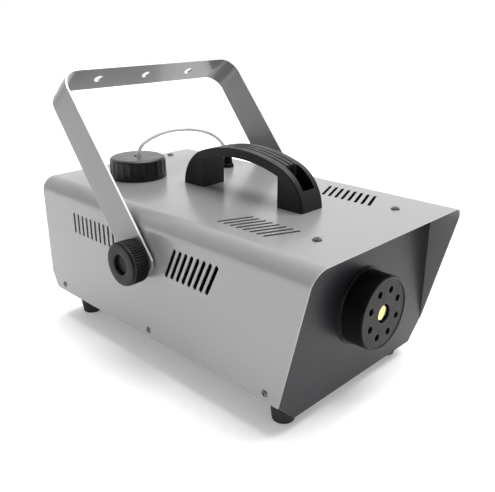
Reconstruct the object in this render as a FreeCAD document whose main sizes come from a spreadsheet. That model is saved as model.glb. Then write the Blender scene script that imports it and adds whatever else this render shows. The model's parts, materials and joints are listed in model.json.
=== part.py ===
"""Fog machine: a sheet-metal casing on four feet with a hooded front, a tilting yoke clamped by two
hand knobs, a carrying handle, a fluid tank with a screw cap and a suction hose, and, inside, the
pump, the heater and the controls.

Frame: millimetres, +Z up, the nozzle faces -Y, the origin is on the floor at the middle of the casing.
"""
import FreeCAD, Part
import math
import os

import Sketcher
from FreeCAD import Placement, Rotation, Vector

doc = FreeCAD.newDocument("fog_machine")
sheet = doc.addObject("Spreadsheet::Sheet", "Dim")
nodes = []


# ---------------------------------------------------------------------------------------------
# Sizes: each one is a number together with the spreadsheet expression that gives it
# ---------------------------------------------------------------------------------------------
class Size:
    def __init__(self, value, text):
        self.value = float(value)
        self.text = text

    def _with(self, other, sign, value):
        return Size(value, f"({self.text} {sign} {size(other).text})")

    def __add__(self, other):
        return self._with(other, "+", self.value + size(other).value)

    def __sub__(self, other):
        return self._with(other, "-", self.value - size(other).value)

    def __mul__(self, other):
        return self._with(other, "*", self.value * size(other).value)

    def __truediv__(self, other):
        return self._with(other, "/", self.value / size(other).value)

    def __neg__(self):
        return size(0) - self

    def __radd__(self, other):
        return size(other) + self

    def __rsub__(self, other):
        return size(other) - self

    def __rmul__(self, other):
        return size(other) * self


def size(value):
    return value if isinstance(value, Size) else Size(value, f"({float(value)!r})")


def sine(degrees):
    return Size(math.sin(math.radians(degrees.value)), f"sin({degrees.text} * 1 deg)")


def cosine(degrees):
    return Size(math.cos(math.radians(degrees.value)), f"cos({degrees.text} * 1 deg)")


def root(value):
    return Size(math.sqrt(value.value), f"sqrt({value.text})")


def dim(alias, value, note):
    row = dim.rows = getattr(dim, "rows", 0) + 1
    sheet.set(f"A{row}", note)
    sheet.set(f"B{row}", str(value))
    sheet.setAlias(f"B{row}", alias)
    return Size(value, f"Dim.{alias}")


def bind(obj, path, value):
    obj.setExpression(path, size(value).text)


# ---------------------------------------------------------------------------------------------
# Part primitives
# ---------------------------------------------------------------------------------------------
TURNS = {
    "z": Rotation(),
    "-z": Rotation(Vector(1, 0, 0), 180),
    "x": Rotation(Vector(0, 1, 0), 90),
    "-x": Rotation(Vector(0, 1, 0), -90),
    "y": Rotation(Vector(1, 0, 0), -90),
    "-y": Rotation(Vector(1, 0, 0), 90),
}


def put(obj, at, along="z"):
    obj.Placement = Placement(Vector(), TURNS[along])
    for axis, value in zip("xyz", at):
        bind(obj, f"Placement.Base.{axis}", value)
    return obj


def block(name, x, y, z):
    """A box from its low and high limits on each axis."""
    obj = doc.addObject("Part::Box", name)
    for path, (low, high) in zip(("Length", "Width", "Height"), (x, y, z)):
        bind(obj, path, size(high) - low)
    return put(obj, (x[0], y[0], z[0]))


def rod(name, radius, at, length, along="z"):
    obj = doc.addObject("Part::Cylinder", name)
    bind(obj, "Radius", radius)
    bind(obj, "Height", length)
    return put(obj, at, along)


def taper(name, radius, end_radius, at, length, along="z"):
    obj = doc.addObject("Part::Cone", name)
    bind(obj, "Radius1", radius)
    bind(obj, "Radius2", end_radius)
    bind(obj, "Height", length)
    return put(obj, at, along)


def prism(name, sides, radius, at, length, along="z"):
    obj = doc.addObject("Part::Prism", name)
    obj.Polygon = sides
    bind(obj, "Circumradius", radius)
    bind(obj, "Height", length)
    return put(obj, at, along)


def fused(name, *pieces):
    obj = doc.addObject("Part::MultiFuse", name)
    obj.Shapes = list(pieces)
    return obj


def minus(name, base, *tools):
    obj = doc.addObject("Part::Cut", name)
    obj.Base = base
    obj.Tool = tools[0] if len(tools) == 1 else fused(f"{name}_tools", *tools)
    return obj


def group(name, pieces):
    obj = doc.addObject("Part::Compound", name)
    obj.Links = list(pieces)
    return obj


def tube(name, radius, bore, at, length, along="z"):
    outside = rod(f"{name}_outside", radius, at, length, along)
    return minus(name, outside, rod(f"{name}_bore", bore, at, length, along))


def eased(name, base, radius, picks):
    """Base with the edges that picks() accepts rounded to one radius."""
    doc.recompute()
    obj = doc.addObject("Part::Fillet", name)
    obj.Base = base
    chosen = [i + 1 for i, edge in enumerate(base.Shape.Edges) if picks(edge)]
    obj.Edges = [(i, radius.value, radius.value) for i in chosen]
    return obj


def node(obj, label=None):
    """Registers a finished sub-part under the name of its file."""
    obj.Label = label or obj.Name
    nodes.append(obj)
    return obj


# ---------------------------------------------------------------------------------------------
# PartDesign bodies
# ---------------------------------------------------------------------------------------------
def new_body(name):
    return doc.addObject("PartDesign::Body", name)


def sketch(body, name, role, lift=0.0):
    obj = body.newObject("Sketcher::SketchObject", name)
    plane = next(f for f in body.Origin.OriginFeatures if f.Role == role)
    obj.AttachmentSupport = [(plane, "")]
    obj.MapMode = "FlatFace"
    bind(obj, "AttachmentOffset.Base.z", lift)
    return obj


def fix_point(obj, geometry, position, x, y):
    """Holds one point of the sketch at x, y; a zero puts it on the sketch's own axis."""
    for kind, value, axis in (("DistanceX", size(x), -2), ("DistanceY", size(y), -1)):
        if abs(value.value) < 1e-9:
            obj.addConstraint(Sketcher.Constraint("PointOnObject", geometry, position, axis))
            continue
        at = obj.addConstraint(Sketcher.Constraint(kind, -1, 1, geometry, position, value.value))
        bind(obj, f"Constraints[{at}]", value)


def outline(obj, *corners):
    """A closed outline. A corner is (x, y), reached by a straight side, or (x, y, radius), reached by
    an arc that turns left for a positive radius and right for a negative one."""
    ends = []
    for i, corner in enumerate(corners):
        before = corners[i - 1]
        a = Vector(size(before[0]).value, size(before[1]).value, 0)
        b = Vector(size(corner[0]).value, size(corner[1]).value, 0)
        if len(corner) == 2:
            ends.append((obj.addGeometry(Part.LineSegment(a, b), False), 1, 2))
            continue
        radius = size(corner[2])
        side = 1 if radius.value > 0 else -1
        chord = b - a
        rise = math.sqrt(max(radius.value ** 2 - chord.Length ** 2 / 4, 0.0))
        centre = (a + b) * 0.5 + Vector(-chord.y, chord.x, 0) * (side * rise / chord.Length)
        first, last = (a, b) if side > 0 else (b, a)
        angles = [math.atan2(p.y - centre.y, p.x - centre.x) for p in (first, last)]
        circle = Part.Circle(centre, Vector(0, 0, 1), abs(radius.value))
        arc = Part.ArcOfCircle(circle, angles[0], angles[1])
        where = obj.addGeometry(arc, False)
        ends.append((where, 1, 2) if side > 0 else (where, 2, 1))
        at = obj.addConstraint(Sketcher.Constraint("Radius", where, abs(radius.value)))
        bind(obj, f"Constraints[{at}]", radius if side > 0 else -radius)
    for i, (geometry, start, end) in enumerate(ends):
        following = ends[(i + 1) % len(ends)]
        obj.addConstraint(Sketcher.Constraint("Coincident", geometry, end, following[0], following[1]))
        fix_point(obj, geometry, end, *corners[i][:2])
    return obj


def circle(obj, x, y, radius):
    centre = Vector(size(x).value, size(y).value, 0)
    where = obj.addGeometry(Part.Circle(centre, Vector(0, 0, 1), size(radius).value), False)
    fix_point(obj, where, 3, x, y)
    at = obj.addConstraint(Sketcher.Constraint("Radius", where, size(radius).value))
    bind(obj, f"Constraints[{at}]", radius)
    return obj


def slot(obj, a, b, radius):
    """A slot with round ends, from the middle of one end to the middle of the other."""
    dx, dy = size(b[0]) - a[0], size(b[1]) - a[1]
    length = root(dx * dx + dy * dy)
    ux, uy = radius * dx / length, radius * dy / length
    return outline(
        obj,
        (b[0] + uy, b[1] - ux),
        (b[0] + ux, b[1] + uy, radius),
        (b[0] - uy, b[1] + ux, radius),
        (a[0] - uy, a[1] + ux),
        (a[0] - ux, a[1] - uy, radius),
        (a[0] + uy, a[1] - ux, radius),
    )


def rectangle(obj, x, y):
    return outline(obj, (x[0], y[0]), (x[1], y[0]), (x[1], y[1]), (x[0], y[1]))


def pad(body, name, profile, length, way="One side", back=False):
    obj = body.newObject("PartDesign::Pad", name)
    obj.Profile = profile
    bind(obj, "Length", length)
    obj.SideType = way
    obj.Reversed = back
    return obj


def ease(body, name, feature, radius, picks):
    """Rounds the edges of the body's last feature that picks() accepts."""
    doc.recompute()
    obj = body.newObject("PartDesign::Fillet", name)
    obj.Base = (feature, [f"Edge{i + 1}" for i, edge in enumerate(feature.Shape.Edges) if picks(edge)])
    bind(obj, "Radius", radius)
    return obj


def pocket(body, name, profile, length=None, way="One side"):
    """Cuts along the profile's normal, backwards for a length, or both ways right through."""
    obj = body.newObject("PartDesign::Pocket", name)
    obj.Profile = profile
    if length is None:
        obj.Type = "ThroughAll"
        obj.SideType = "Symmetric"
    else:
        bind(obj, "Length", length)
        obj.SideType = way
    return obj


def repeat(body, name, feature, profile, axis, count, length):
    obj = body.newObject("PartDesign::LinearPattern", name)
    obj.Originals = [feature]
    obj.Direction = (profile, [axis])
    obj.Occurrences = count
    bind(obj, "Length", length)
    body.Tip = obj
    return obj


# ---------------------------------------------------------------------------------------------
# Driving dimensions
# ---------------------------------------------------------------------------------------------
body_len = dim("body_len", 394, "casing, front edge of the hood to the rear edge")
body_wid = dim("body_wid", 230, "casing, side to side")
body_top = dim("body_top", 168.5, "top of the casing above the floor")
cover_base = dim("cover_base", 36, "lower edge of the cover above the floor")
skin = dim("skin", 1.2, "cover and pan sheet thickness")
plate = dim("plate", 1.5, "end panel thickness")
edge_round = dim("edge_round", 16, "outer radius of the cover's two long bends")
hood_reach = dim("hood_reach", 33, "how far the top edge overhangs the front panel")
heel_len = dim("heel_len", 9.6, "cut at the cover's lower rear corner, along the casing")
heel_high = dim("heel_high", 16.9, "cut at the cover's lower rear corner, upwards")
rear_recess = dim("rear_recess", 8, "rear panel's face behind the cover's rear edge")
pan_low = dim("pan_low", 16, "underside of the pan above the floor, the height of the feet")
pan_half = dim("pan_half", 93, "half width of the pan's flat bottom")
pan_lip = dim("pan_lip", 54, "top of the pan's side walls")
slot_half = dim("slot_half", 1.75, "half width of a narrow air slot")
wide_slot_half = dim("wide_slot_half", 2.15, "half width of a slanted side slot")
slot_pitch = dim("slot_pitch", 8, "spacing of the air slots")
nozzle_high = dim("nozzle_high", 91, "nozzle axis above the floor")
pivot_y = dim("pivot_y", 15, "yoke pivot along the casing")
pivot_z = dim("pivot_z", 121, "yoke pivot above the floor")
screw_x = dim("screw_x", 59.3, "top screws from the middle")
top_front_y = dim("top_front_y", -155, "front top screws")
top_rear_y = dim("top_rear_y", 182, "rear top screws")
side_screw_z = dim("side_screw_z", 44.3, "side screws above the floor")
side_front_y = dim("side_front_y", -149, "front side screws")
side_mid_y = dim("side_mid_y", 10.5, "middle side screws")
side_rear_y = dim("side_rear_y", 171, "rear side screws")
cap_x = dim("cap_x", -34, "tank cap axis")
cap_y = dim("cap_y", 124, "tank cap axis")
gland_x = dim("gland_x", 67, "hose gland axis")
gland_y = dim("gland_y", 82, "hose gland axis")
foot_x = dim("foot_x", 82.3, "feet from the middle")
foot_front_y = dim("foot_front_y", -142.3, "front feet")
foot_rear_y = dim("foot_rear_y", 170.5, "rear feet")
handle_y = dim("handle_y", -18.4, "middle of the handle")
handle_high = dim("handle_high", 48.8, "height of the handle above the cover")
handle_wid = dim("handle_wid", 31, "width of the handle")
handle_arc = dim("handle_arc", 170, "radius of the handle's back")
handle_end_arc = dim("handle_end_arc", 44, "radius of the handle's ends")
handle_turn = dim("handle_turn", 18.6, "half angle of the handle's back, degrees")
handle_thick = dim("handle_thick", 9.2, "thickness of the grip")
handle_gap = dim("handle_gap", 53, "half length of the finger gap")
handle_bolt = dim("handle_bolt", 68.5, "handle screws from its middle")
handle_well = dim("handle_well", 8.5, "half width of a screw pocket")
handle_groove = dim("handle_groove", 0.8, "depth of the grooves along the grip")
yoke_half = dim("yoke_half", 119.5, "outside of a yoke arm from the middle")
yoke_thick = dim("yoke_thick", 2, "yoke strip thickness")
yoke_len = dim("yoke_len", 202.2, "pivot to the outside of the cross strip")
yoke_bend = dim("yoke_bend", 21, "outer radius of the yoke's bends")
yoke_tail = dim("yoke_tail", 17.5, "arm beyond the pivot")
yoke_low_half = dim("yoke_low_half", 21, "half width of an arm at its end")
yoke_top_half = dim("yoke_top_half", 18.6, "half width of the cross strip")
yoke_tilt = dim("yoke_tilt", 38.7, "backward tilt of the yoke at rest, degrees")
rigging_pitch = dim("rigging_pitch", 62.5, "spacing of the rigging holes")
rigging_shift = dim("rigging_shift", -3.5, "middle rigging hole from the middle of the strip")
rigging_hole = dim("rigging_hole", 5.2, "radius of a rigging hole")
stud_radius = dim("stud_radius", 4, "clamp stud")
run_gap = dim("run_gap", 0.06, "radial clearance of a running fit")
knob_radius = dim("knob_radius", 21.9, "clamp knob")
knob_in = dim("knob_in", 120.6, "inner face of a knob from the middle")
knob_out = dim("knob_out", 139.5, "outer face of a knob from the middle")
knob_recess = dim("knob_recess", 9.5, "radius of the recess in a knob's face")
knob_floor = dim("knob_floor", 134, "bottom of the recess from the middle")
guard_radius = dim("guard_radius", 35.5, "nozzle guard barrel")
guard_len = dim("guard_len", 24.7, "nozzle guard, panel to face")
guard_wall = dim("guard_wall", 2.5, "nozzle guard wall")
guard_flange = dim("guard_flange", 37.8, "radius of the guard's base ring")
guard_hole_circle = dim("guard_hole_circle", 22.7, "radius of the circle of guard holes")
guard_hole = dim("guard_hole", 3.7, "radius of a guard hole")
guard_eye = dim("guard_eye", 9.3, "radius of the guard's middle opening")
guard_rim = dim("guard_rim", 33.4, "radius of the shallow recess in the guard's face")
cap_radius = dim("cap_radius", 31.8, "tank cap")
cap_top = dim("cap_top", 191.6, "top of the tank cap")
cap_foot = dim("cap_foot", 169, "lower edge of the tank cap")
hose_radius = dim("hose_radius", 2, "fluid hose, outside")

half_wid = body_wid / 2
inner_half = half_wid - skin
front_edge = -body_len / 2
rear_edge = body_len / 2
front_face = front_edge + hood_reach
rear_face = rear_edge - rear_recess
roof = body_top - skin
floor_top = pan_low + skin
SIDES = (("left", -1, "-x"), ("right", 1, "x"))


# ---------------------------------------------------------------------------------------------
# Casing
# ---------------------------------------------------------------------------------------------
def cover():
    """Folded sheet: the top and both sides, with the slanted front edge, the air slots and the holes."""
    body = new_body("cover")
    inside = edge_round - skin
    bend = half_wid - edge_round
    section = outline(
        sketch(body, "cover_section", "XZ_Plane"),
        (half_wid, cover_base),
        (half_wid, body_top - edge_round),
        (bend, body_top, edge_round),
        (-bend, body_top),
        (-half_wid, body_top - edge_round, edge_round),
        (-half_wid, cover_base),
        (-inner_half, cover_base),
        (-inner_half, body_top - edge_round),
        (-bend, roof, -inside),
        (bend, roof),
        (inner_half, body_top - edge_round, -inside),
        (inner_half, cover_base),
    )
    pad(body, "cover_fold", section, body_len, "Symmetric")

    spare = 2.0
    ends = sketch(body, "cover_ends", "YZ_Plane")
    outline(
        ends,
        (front_edge - spare, body_top),
        (front_edge - spare, cover_base - spare),
        (front_face, cover_base - spare),
        (front_face, cover_base),
        (front_edge, body_top),
    )
    outline(
        ends,
        (rear_edge - heel_len, cover_base),
        (rear_edge - heel_len, cover_base - spare),
        (rear_edge + spare, cover_base - spare),
        (rear_edge + spare, cover_base + heel_high),
        (rear_edge, cover_base + heel_high),
    )
    pocket(body, "cover_trim", ends)

    side_holes = sketch(body, "side_holes", "YZ_Plane")
    for y in (side_front_y, side_mid_y, side_rear_y):
        circle(side_holes, y, side_screw_z, 2.2)
    circle(side_holes, pivot_y, pivot_z, stud_radius + 0.3)
    pocket(body, "side_hole_cut", side_holes)

    top_holes = sketch(body, "top_holes", "XY_Plane", body_top + 1)
    for x in (-screw_x, screw_x):
        for y in (top_front_y, top_rear_y):
            circle(top_holes, x, y, 2.2)
    for y in (handle_y - handle_bolt, handle_y + handle_bolt):
        circle(top_holes, 0, y, 2.8)
    circle(top_holes, cap_x, cap_y, 27)
    circle(top_holes, gland_x, gland_y, 4.6)
    pocket(body, "top_hole_cut", top_holes, skin + 2)

    rear_slot = slot(sketch(body, "rear_slot", "YZ_Plane"), (61.5, 119.5), (61.5, 139), slot_half)
    rear_cut = pocket(body, "rear_slot_cut", rear_slot)
    repeat(body, "rear_slots", rear_cut, rear_slot, "H_Axis", 10, slot_pitch * 9)

    front_slot = slot(sketch(body, "front_slot", "YZ_Plane"), (-78.9, 114.5), (-92.9, 142), wide_slot_half)
    front_cut = pocket(body, "front_slot_cut", front_slot)
    repeat(body, "front_slots", front_cut, front_slot, "H_Axis", 8, slot_pitch * 7)

    top_slot = sketch(body, "top_slot", "XY_Plane", body_top + 1)
    for side in (-1, 1):
        slot(top_slot, (side * 52.5, -129.8), (side * 82, -117.2), slot_half)
    top_cut = pocket(body, "top_slot_cut", top_slot, skin + 2)
    repeat(body, "top_slots", top_cut, top_slot, "V_Axis", 8, slot_pitch * 7)
    return node(body)


def end_panel(name, face, inward):
    """Upright end plate with a top and a bottom flange. The outer face is at y = face."""
    body = new_body(name)
    inside = edge_round - skin
    bend = half_wid - edge_round
    slope_top = pan_low + inner_half - pan_half
    shape = outline(
        sketch(body, f"{name}_shape", "XZ_Plane", -face),
        (pan_half, pan_low),
        (inner_half, slope_top),
        (inner_half, body_top - edge_round),
        (bend, roof, inside),
        (-bend, roof),
        (-inner_half, body_top - edge_round, inside),
        (-inner_half, slope_top),
        (-pan_half, pan_low),
    )
    pad(body, f"{name}_plate", shape, plate, back=inward > 0)
    for level, low, reach in (("top", roof - plate, 20), ("bottom", floor_top, 12)):
        flange = sketch(body, f"{name}_{level}_flange", "XY_Plane", low)
        ends = (face + plate / 2, face + reach) if inward > 0 else (face - reach, face - plate / 2)
        rectangle(flange, (-86, 86), ends)
        pad(body, f"{name}_{level}_fold", flange, plate)
    return body


def guard_bosses():
    """Centres of the guard's three screw bosses, one at the bottom."""
    return [(30 * math.cos(math.radians(a)), nozzle_high + 30 * math.sin(math.radians(a)))
            for a in (-90, 30, 150)]


def front_panel():
    body = end_panel("front_panel", front_face, 1)
    hole = sketch(body, "nozzle_hole", "XZ_Plane", -front_face)
    circle(hole, 0, nozzle_high, 14)
    for x, z in guard_bosses():
        circle(hole, x, z, 1.7)
    pocket(body, "nozzle_hole_cut", hole)
    holes = sketch(body, "front_flange_holes", "XY_Plane", body_top)
    for x in (-screw_x, screw_x):
        circle(holes, x, top_front_y, 1.9)
    pocket(body, "front_flange_cut", holes, skin + plate + 1)
    return node(body)


def rear_panel():
    body = end_panel("rear_panel", rear_face, -1)
    openings = sketch(body, "rear_openings", "XZ_Plane", -rear_face)
    rectangle(openings, (inlet_x - 14, inlet_x + 14), (inlet_z - 10, inlet_z + 10))
    rectangle(openings, (switch_x - 6.6, switch_x + 6.6), (switch_z - 9.7, switch_z + 9.7))
    circle(openings, fuse_x, switch_z, 6.1)
    circle(openings, remote_x, remote_z, 7.6)
    for dx in (-inlet_screw, inlet_screw):
        circle(openings, inlet_x + dx, inlet_z, 1.6)
    for dx in (-remote_screw, remote_screw):
        circle(openings, remote_x + dx, remote_z, 1.3)
    pocket(body, "rear_openings_cut", openings)
    holes = sketch(body, "rear_flange_holes", "XY_Plane", body_top)
    for x in (-screw_x, screw_x):
        circle(holes, x, top_rear_y, 1.9)
    pocket(body, "rear_flange_cut", holes, skin + plate + 1)
    return node(body)


def chassis_pan():
    """Folded tray: a flat bottom, two 45 degree slopes and two side walls inside the cover."""
    body = new_body("chassis_pan")
    slope_top = pan_low + inner_half - pan_half
    step = skin * (math.sqrt(2) - 1)
    section = outline(
        sketch(body, "pan_section", "XZ_Plane", -(rear_face - plate)),
        (pan_half, pan_low),
        (inner_half, slope_top),
        (inner_half, pan_lip),
        (inner_half - skin, pan_lip),
        (inner_half - skin, slope_top + step),
        (pan_half - step, floor_top),
        (step - pan_half, floor_top),
        (skin - inner_half, slope_top + step),
        (skin - inner_half, pan_lip),
        (-inner_half, pan_lip),
        (-inner_half, slope_top),
        (-pan_half, pan_low),
    )
    pad(body, "pan_fold", section, rear_face - front_face - plate * 2)
    holes = sketch(body, "pan_side_holes", "YZ_Plane")
    for y in (side_front_y, side_mid_y, side_rear_y):
        circle(holes, y, side_screw_z, 1.9)
    pocket(body, "pan_side_cut", holes)
    under = sketch(body, "pan_foot_holes", "XY_Plane", floor_top + 1)
    for x in (-foot_x, foot_x):
        for y in (foot_front_y, foot_rear_y):
            circle(under, x, y, 2.2)
    pocket(body, "pan_foot_cut", under, skin + 2)
    return node(body)


def foot(name, x, y):
    outside = taper(f"{name}_cone", 10.5, 12.3, (x, y, 0), pan_low)
    recess = rod(f"{name}_recess", 5.2, (x, y, 0), 6)
    hole = rod(f"{name}_hole", 2.2, (x, y, 0), pan_low)
    return node(minus(name, outside, recess, hole))


def dome_screw(name, at, along, radius, height, shank, length):
    """Low domed screw: the head rises from the surface at, the shank goes the other way."""
    behind = {"x": (-1, 0, 0), "-x": (1, 0, 0), "y": (0, -1, 0), "-y": (0, 1, 0),
              "z": (0, 0, -1), "-z": (0, 0, 1)}[along]
    start = [size(value) + step * length for value, step in zip(at, behind)]
    head = taper(f"{name}_head", radius, radius * 0.72, at, height, along)
    stem = rod(f"{name}_stem", shank, start, length, along)
    arms = []
    for turn in (0, 1):
        half = (2.0, 0.42) if turn == 0 else (0.42, 2.0)
        depth = (height * 0.3, height + 1)
        spans = {"x": (depth, half[0], half[1]), "-x": (depth, half[0], half[1]),
                 "y": (half[0], depth, half[1]), "-y": (half[0], depth, half[1]),
                 "z": (half[0], half[1], depth), "-z": (half[0], half[1], depth)}[along]
        sign = -1 if along.startswith("-") else 1
        limits = []
        for value, span in zip(at, spans):
            if isinstance(span, tuple):
                pair = sorted((sign * span[0], sign * span[1]))
                limits.append((size(value) + pair[0], size(value) + pair[1]))
            else:
                limits.append((size(value) - span, size(value) + span))
        arms.append(block(f"{name}_arm{turn}", *limits))
    return minus(name, fused(f"{name}_blank", head, stem), *arms)


def casing_screws():
    tops = []
    for i, x in enumerate((-screw_x, screw_x)):
        for j, y in enumerate((top_front_y, top_rear_y)):
            tops.append(dome_screw(f"top_screw_{i}{j}", (x, y, body_top), "z", 4.5, 1.8, 1.85, 8))
    node(group("top_screws", tops))
    sides = []
    for label, sign, along in SIDES:
        for j, y in enumerate((side_front_y, side_mid_y, side_rear_y)):
            at = (sign * half_wid, y, side_screw_z)
            sides.append(dome_screw(f"{label}_side_screw_{j}", at, along, 3.6, 1.1, 1.85, 7))
    node(group("side_screws", sides))
    unders = []
    for i, x in enumerate((-foot_x, foot_x)):
        for j, y in enumerate((foot_front_y, foot_rear_y)):
            head = rod(f"foot_head_{i}{j}", 4.4, (x, y, 3.4), 2.6)
            stem = rod(f"foot_stem_{i}{j}", 2.1, (x, y, 6), 16)
            unders.append(fused(f"foot_screw_{i}{j}", head, stem))
    node(group("foot_screws", unders))


# ---------------------------------------------------------------------------------------------
# Handle
# ---------------------------------------------------------------------------------------------
def handle():
    """Arched grip on two solid feet, with a screw pocket in the back of each foot."""
    body = new_body("handle")
    apex = body_top + handle_high
    hub = apex - handle_arc
    reach = handle_arc * sine(handle_turn)
    rise = hub + handle_arc * cosine(handle_turn)
    end_y = (handle_arc - handle_end_arc) * sine(handle_turn)
    end_z = hub + (handle_arc - handle_end_arc) * cosine(handle_turn)
    drop = body_top - end_z
    toe = end_y + root(handle_end_arc * handle_end_arc - drop * drop)
    under = handle_arc - handle_thick
    shoulder = hub + root(under * under - handle_gap * handle_gap)
    side = outline(
        sketch(body, "handle_side", "YZ_Plane"),
        (handle_y + toe, body_top),
        (handle_y + reach, rise, handle_end_arc),
        (handle_y - reach, rise, handle_arc),
        (handle_y - toe, body_top, handle_end_arc),
        (handle_y - handle_gap, body_top),
        (handle_y - handle_gap, shoulder),
        (handle_y + handle_gap, shoulder, -under),
        (handle_y + handle_gap, body_top),
    )
    stock = pad(body, "handle_block", side, handle_wid, "Symmetric")
    outer = (handle_arc.value, handle_end_arc.value)
    ease(body, "handle_ease", stock, 2.0, lambda edge: isinstance(edge.Curve, Part.Circle) and any(
        abs(edge.Curve.Radius - radius) < 0.01 for radius in outer))
    wells = sketch(body, "handle_wells", "XY_Plane", apex)
    corner = 3.0
    for way in (-1, 1):
        near, far = handle_y + way * (handle_gap + 2), handle_y + way * (handle_bolt + 10.2)
        outline(
            wells,
            (-handle_well, near + way * corner),
            (corner - handle_well, near, way * corner),
            (handle_well - corner, near),
            (handle_well, near + way * corner, way * corner),
            (handle_well, far),
            (-handle_well, far),
        )
    pocket(body, "handle_well_cut", wells, handle_high - 7)
    holes = sketch(body, "handle_holes", "XY_Plane", apex)
    for way in (-1, 1):
        circle(holes, 0, handle_y + way * handle_bolt, 2.7)
    pocket(body, "handle_hole_cut", holes)
    pitch = 6.0
    groove = sketch(body, "handle_groove_side", "YZ_Plane", -pitch)
    high, low, turn = handle_arc + 1, handle_arc - handle_groove, handle_turn + 0.7
    outline(
        groove,
        (handle_y + high * sine(turn), hub + high * cosine(turn)),
        (handle_y - high * sine(turn), hub + high * cosine(turn), high),
        (handle_y - low * sine(turn), hub + low * cosine(turn)),
        (handle_y + low * sine(turn), hub + low * cosine(turn), -low),
    )
    cut = pocket(body, "handle_groove_cut", groove, 1.8, "Symmetric")
    repeat(body, "handle_grooves", cut, groove, "N_Axis", 3, pitch * 2)
    node(body)

    screws, nuts = [], []
    for i, sign in enumerate((-1, 1)):
        y = handle_y + sign * handle_bolt
        head = rod(f"handle_screw_head_{i}", 4.3, (0, y, body_top + 7), 3)
        stem = rod(f"handle_screw_stem_{i}", 2.45, (0, y, body_top - 8), 15)
        socket = prism(f"handle_screw_socket_{i}", 6, 2.3, (0, y, body_top + 8), 3)
        screws.append(minus(f"handle_screw_{i}", fused(f"handle_screw_blank_{i}", head, stem), socket))
        blank = prism(f"handle_nut_blank_{i}", 6, 4.6, (0, y, roof - 4), 4)
        nuts.append(minus(f"handle_nut_{i}", blank, rod(f"handle_nut_bore_{i}", 2.5, (0, y, roof - 4), 4)))
    node(group("handle_screws", screws))
    node(group("handle_nuts", nuts))


# ---------------------------------------------------------------------------------------------
# Yoke and its clamps
# ---------------------------------------------------------------------------------------------
def yoke():
    """Flat strip bent to a U, drawn upright about its pivot and then tilted back."""
    body = new_body("yoke")
    inner = yoke_half - yoke_thick
    bend = yoke_half - yoke_bend
    shoulder = yoke_len - yoke_bend
    inside = yoke_bend - yoke_thick
    front = outline(
        sketch(body, "yoke_front", "XZ_Plane"),
        (yoke_half, -yoke_tail),
        (yoke_half, shoulder),
        (bend, yoke_len, yoke_bend),
        (-bend, yoke_len),
        (-yoke_half, shoulder, yoke_bend),
        (-yoke_half, -yoke_tail),
        (-inner, -yoke_tail),
        (-inner, shoulder),
        (-bend, yoke_len - yoke_thick, -inside),
        (bend, yoke_len - yoke_thick),
        (inner, shoulder, -inside),
        (inner, -yoke_tail),
    )
    pad(body, "yoke_strip", front, yoke_low_half * 2 + 4, "Symmetric")
    corner = 10.0
    side = sketch(body, "yoke_side", "YZ_Plane")
    rectangle(side, (-yoke_low_half - 6, yoke_low_half + 6), (-yoke_tail - 4, yoke_len + 4))
    outline(
        side,
        (yoke_low_half - corner, -yoke_tail),
        (yoke_low_half, corner - yoke_tail, corner),
        (yoke_top_half, yoke_len + 1),
        (-yoke_top_half, yoke_len + 1),
        (-yoke_low_half, corner - yoke_tail),
        (corner - yoke_low_half, -yoke_tail, corner),
    )
    pocket(body, "yoke_taper", side)
    pivots = circle(sketch(body, "yoke_pivots", "YZ_Plane"), 0, 0, stud_radius + run_gap)
    pocket(body, "yoke_pivot_cut", pivots)
    rigging = sketch(body, "yoke_rigging", "XY_Plane", yoke_len + 1)
    for x in (rigging_shift - rigging_pitch, rigging_shift, rigging_shift + rigging_pitch):
        circle(rigging, x, 0, rigging_hole)
    pocket(body, "yoke_rigging_cut", rigging, yoke_thick + 3)
    body.Placement = Placement(Vector(), Rotation(Vector(-1, 0, 0), yoke_tilt.value))
    bind(body, "Placement.Rotation.Angle", yoke_tilt)
    bind(body, "Placement.Base.y", pivot_y)
    bind(body, "Placement.Base.z", pivot_z)
    return node(body)


def clamps():
    """Both clamps, each from the inside out: weld nut, rubber washer, yoke arm, steel washer, knob."""
    bore = stud_radius + run_gap
    nuts, soft, hard = [], [], []
    for label, sign, along in SIDES:
        at = lambda distance: (sign * size(distance), pivot_y, pivot_z)
        nuts.append(tube(f"{label}_weld_nut", 7, bore, at(inner_half - 9), 9, along))
        gap = yoke_half - yoke_thick - 0.1 - half_wid
        soft.append(tube(f"{label}_rubber_washer", 14, stud_radius + 0.4, at(half_wid), gap, along))
        hard.append(tube(f"{label}_steel_washer", 11, bore, at(yoke_half + 0.05), 1, along))
        shaft = rod(f"{label}_stud_shaft", stud_radius, at(100), knob_floor + 0.05 - 100, along)
        head = rod(f"{label}_stud_head", 9, at(knob_floor + 0.05), 2, along)
        node(fused(f"{label}_stud", shaft, head))
        barrel = rod(f"{label}_knob_barrel", knob_radius, at(knob_in), knob_out - knob_in, along)
        recess = rod(f"{label}_knob_recess", knob_recess, at(knob_floor), knob_out - knob_floor + 1, along)
        hole = rod(f"{label}_knob_bore", bore, at(knob_in - 1), 20, along)
        node(minus(f"{label}_knob", barrel, recess, hole))
    node(group("weld_nuts", nuts))
    node(group("rubber_washers", soft))
    node(group("steel_washers", hard))


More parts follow.
